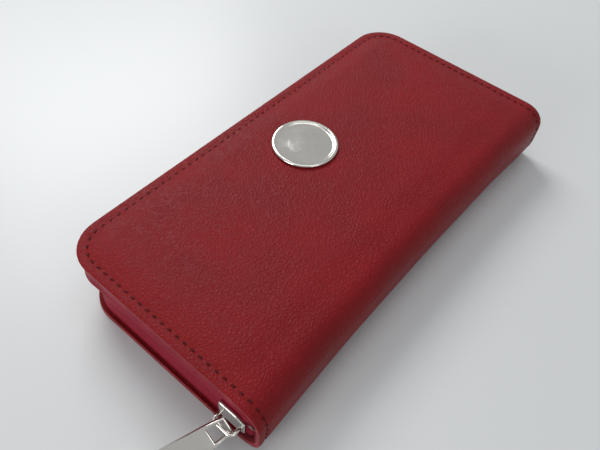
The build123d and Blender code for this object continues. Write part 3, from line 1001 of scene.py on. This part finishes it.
class WALLET_OT_coin_pocket(bpy.types.Operator):
    """The zipped coin pocket: two soft walls, their gussets, the strip to the spine, its tapes and coils"""

    bl_idname = "wallet.coin_pocket"
    bl_label = "Coin pocket"

    def execute(self, context):
        low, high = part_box("coin_pocket_back_wall")
        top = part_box("coin_pocket_front_wall")[1].z
        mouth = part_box("coin_zip_tapes")
        middle, deep = (low.z + top) / 2, (top - low.z) / 2
        lip = (mouth[1].z - middle) - 0.0001
        walls = (
            ("coin_back_wall_leather", ("coin_pocket_back_wall",), -1),
            ("coin_front_wall_leather", ("coin_pocket_front_wall", "coin_pocket_sides"), 1),
        )
        for name, nodes, side in walls:

            def lay(x, y, side=side):
                to_side = high.x - abs(x)
                to_mouth = y - low.y
                to_foot = high.y - y
                lift = deep * (1 - (1 - min(1.0, to_side / 0.003)) ** 2) ** 0.5
                lift = lip + (lift - lip) * smooth_step(to_mouth, 0, 0.004) if lift > lip else lift
                lift -= 0.0006 * (1 - smooth_step(to_foot, 0, 0.006))
                seam = 0.00015 * exp(-(((to_side - 0.0035) / 0.0008) ** 2))
                calm = smooth_step(min(to_side, to_mouth, to_foot), 0, 0.01)
                slack = WALL_SLACK * waver(x, y, side, 0.03, 4.0) * calm
                return Vector((x, y, middle + side * (lift - seam - abs(slack))))

            bm = rounded_sheet(high.x, low.y, high.y, 0.003, (0.0, 0.0), lay, 1.0)
            if side < 0:
                bmesh.ops.reverse_faces(bm, faces=bm.faces)
            wall = place_mesh(bm, name, ["smooth_leather"], LEAF_BODY, nodes)
            thicken(wall, 0.0007)

        strip_low, strip_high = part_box("coin_pocket_strip")

        def hang(x, y):
            sag = 0.0003 * waver(x, y, 0, 0.02, 8.0)
            return Vector((x, y, middle + 0.0003 + sag))

        foot = strip_low.y - 0.001
        bm = rounded_sheet(strip_high.x - 0.0012, foot, strip_high.y, 0.002, (0.0, 0.0), hang)
        replaced = ("coin_pocket_strip",)
        strip = place_mesh(
            bm, "coin_pocket_hinge_cloth", ["twill_lining"], LEAF_BODY, replaced
        )
        thicken(strip, 0.0007)
        self.coin_zip(context.scene.wallet_sizes, middle)
        return {"FINISHED"}

    def coin_zip(self, sizes, middle):
        """Narrow tapes and fine coils of the coin pocket's zip."""
        low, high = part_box("coin_zip_tapes")
        coil_low, coil_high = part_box("coin_zip_coils")
        coil_z = (coil_high.z - middle) - 0.0003
        bm = bmesh.new()
        for side in (-1, 1):
            inner, outer = coil_z + 0.0003, high.z - middle
            made = bmesh.ops.create_grid(bm, x_segments=78, y_segments=4, size=0.5)["verts"]
            for vertex in made:
                x = vertex.co.x * 2 * high.x
                share = vertex.co.y + 0.5
                ripple = 0.00008 * noise.noise(Vector((x / 0.006, side, share)))
                face = low.y + 0.00005 + ripple + 0.00012 * abs(share - 0.5)
                vertex.co = (x, face, middle + side * (inner + (outer - inner) * share))
            if side < 0:
                faces = {f for v in made for f in v.link_faces}
                bmesh.ops.reverse_faces(bm, faces=list(faces))
        tapes = place_mesh(
            bm, "coin_zip_tape_cloth", ["zip_tape_cloth"], LEAF_BODY, ("coin_zip_tapes",)
        )
        thicken(tapes, 0.0005)
        pitch = sizes.coil_pitch * 0.8
        count = round(2 * coil_high.x / pitch)
        y = (coil_low.y + coil_high.y) / 2
        places = [
            bead(
                Vector((-coil_high.x + (i + 0.5) * 2 * coil_high.x / count, y, middle + side * coil_z)),
                Vector((0, 1, 0)),
                Vector((0, 0, 1)),
                0.0013,
                pitch * 0.8,
                0.0006,
            )
            for i in range(count)
            for side in (-1, 1)
        ]
        beads(places, "coin_zip_coil_turns", "nylon_coil", LEAF_BODY, ("coin_zip_coils",), (6, 4))


class WALLET_OT_hidden_layers(bpy.types.Operator):
    """Finishes of the boards and foam between leather and lining"""

    bl_idname = "wallet.hidden_layers"
    bl_label = "Boards and foam"

    def execute(self, context):
        for node in ("back_board", "front_board"):
            finish_node(node, "fibre_board")
        finish_node("front_foam", "cut_foam")
        return {"FINISHED"}


# ---- stage ----
CAMERA_TARGET = Vector((0.013845, -0.003675, 0.0))
CAMERA_AZIMUTH, CAMERA_ELEVATION, CAMERA_ROLL = radians(125.46), radians(51.37), radians(6.08)
CAMERA_DISTANCE = 0.260758
CAMERA_LENS = 36.116


def area_light(name, place, target, size, energy, tint=(1.0, 1.0, 1.0)):
    lamp = bpy.data.lights.new(name, "AREA")
    lamp.shape = "RECTANGLE"
    lamp.size, lamp.size_y = size
    lamp.energy = energy
    lamp.color = tint
    light = bpy.data.objects.new(name, lamp)
    light.location = place
    light.rotation_euler = (Vector(target) - Vector(place)).to_track_quat("-Z", "Y").to_euler()
    bpy.context.scene.collection.objects.link(light)
    return light


def lacquered_table(hue):
    """Pale lacquered table top: even grey, faintly cloudy, with a soft shine."""
    made, tree = start_material("lacquered_table")
    cloudy = add_node(tree, "ShaderNodeTexNoise", {"Vector": coordinates(tree), "Scale": 5.0, "Detail": 2.0})
    tone = mixed(tree, cloudy.outputs["Fac"], darker(hue, 0.97), darker(hue, 1.02))
    finish_material(tree, {"Base Color": tone, "Roughness": 0.34, "Specular IOR Level": 0.35})
    return made


def pale_background(tree):
    """Plain even light, and one pale background for what the camera and polished metal see past the table."""
    path = add_node(tree, "ShaderNodeLightPath")
    seen = multiplied(tree, path.outputs["Is Camera Ray"], path.outputs["Is Glossy Ray"], "MAXIMUM")
    tone = mixed(tree, seen, (0.92, 0.95, 1.0, 1.0), (1.75, 1.78, 1.8, 1.0))
    tree.links.new(tone, tree.nodes["Background"].inputs["Color"])


class WALLET_OT_stage(bpy.types.Operator):
    """Pale table, soft studio light and the camera"""

    bl_idname = "wallet.stage"
    bl_label = "Stage"

    def execute(self, context):
        scene = context.scene
        bm = bmesh.new()
        bmesh.ops.create_grid(bm, x_segments=8, y_segments=8, size=2.5)
        mesh = bpy.data.meshes.new("table_top")
        bm.to_mesh(mesh)
        bm.free()
        mesh.materials.append(lacquered_table(scene.wallet_colours.table))
        table = bpy.data.objects.new("table_top", mesh)
        scene.collection.objects.link(table)
        table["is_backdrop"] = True

        world = bpy.data.worlds.new("studio")
        world.use_nodes = True
        pale_background(world.node_tree)
        world.node_tree.nodes["Background"].inputs["Strength"].default_value = 0.34
        scene.world = world
        area_light("window", (-0.35, -0.75, 0.75), (0, 0, 0), (0.6, 0.45), 8.0)
        area_light("overhead", (-0.1, -0.1, 1.1), (0, 0, 0), (0.8, 0.6), 2.0)
        area_light("near_fill", (1.0, -0.15, 0.28), (0, 0, 0.01), (0.5, 0.3), 4.0)
        area_light("spine_fill", (0.3, 1.0, 0.55), (0, 0, 0.01), (0.5, 0.4), 1.5)

        elevation, azimuth = CAMERA_ELEVATION, CAMERA_AZIMUTH
        back = Vector((sin(azimuth) * cos(elevation), -cos(azimuth) * cos(elevation), sin(elevation)))
        right = (-back).cross(Vector((0, 0, 1))).normalized()
        up = right.cross(-back)
        across = cos(CAMERA_ROLL) * right + sin(CAMERA_ROLL) * up
        upward = -sin(CAMERA_ROLL) * right + cos(CAMERA_ROLL) * up
        camera = bpy.data.objects.new("camera", bpy.data.cameras.new("camera"))
        camera.data.lens = CAMERA_LENS
        camera.data.sensor_width = 36.0
        camera.data.clip_start = 0.01
        turn = Matrix((across, upward, back)).transposed().to_4x4()
        camera.matrix_world = Matrix.Translation(CAMERA_TARGET + back * CAMERA_DISTANCE) @ turn
        scene.collection.objects.link(camera)
        scene.camera = camera
        scene.view_settings.view_transform = "Standard"
        return {"FINISHED"}


OPERATORS = (
    WALLET_OT_outer_leather,
    WALLET_OT_rim_stitches,
    WALLET_OT_zip,
    WALLET_OT_zip_metal,
    WALLET_OT_badge,
    WALLET_OT_linings,
    WALLET_OT_pockets,
    WALLET_OT_coin_pocket,
    WALLET_OT_hidden_layers,
    WALLET_OT_stage,
)


class WALLET_PT_panel(bpy.types.Panel):
    """Sizes, colours and making steps of the wallet"""

    bl_idname = "WALLET_PT_panel"
    bl_label = "Wallet"
    bl_space_type = "VIEW_3D"
    bl_region_type = "UI"
    bl_category = "Wallet"

    def draw(self, context):
        for group in (context.scene.wallet_sizes, context.scene.wallet_colours):
            for name in group.__annotations__:
                self.layout.prop(group, name)
        for operator in OPERATORS:
            self.layout.operator(operator.bl_idname)


CLASSES = (WalletSizes, WalletColours, *OPERATORS, WALLET_PT_panel)


def register():
    for item in CLASSES:
        bpy.utils.register_class(item)
    bpy.types.Scene.wallet_sizes = PointerProperty(type=WalletSizes)
    bpy.types.Scene.wallet_colours = PointerProperty(type=WalletColours)


def unregister():
    del bpy.types.Scene.wallet_sizes
    del bpy.types.Scene.wallet_colours
    for item in reversed(CLASSES):
        bpy.utils.unregister_class(item)


def main():
    register()
    for operator in OPERATORS:
        group, name = operator.bl_idname.split(".")
        getattr(getattr(bpy.ops, group), name)()
    boxes = {"cad": cad_box, "visual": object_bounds()}
    {name: [list(corner) for corner in box] for name, box in boxes.items()}


if __name__ == "__main__":
    main()
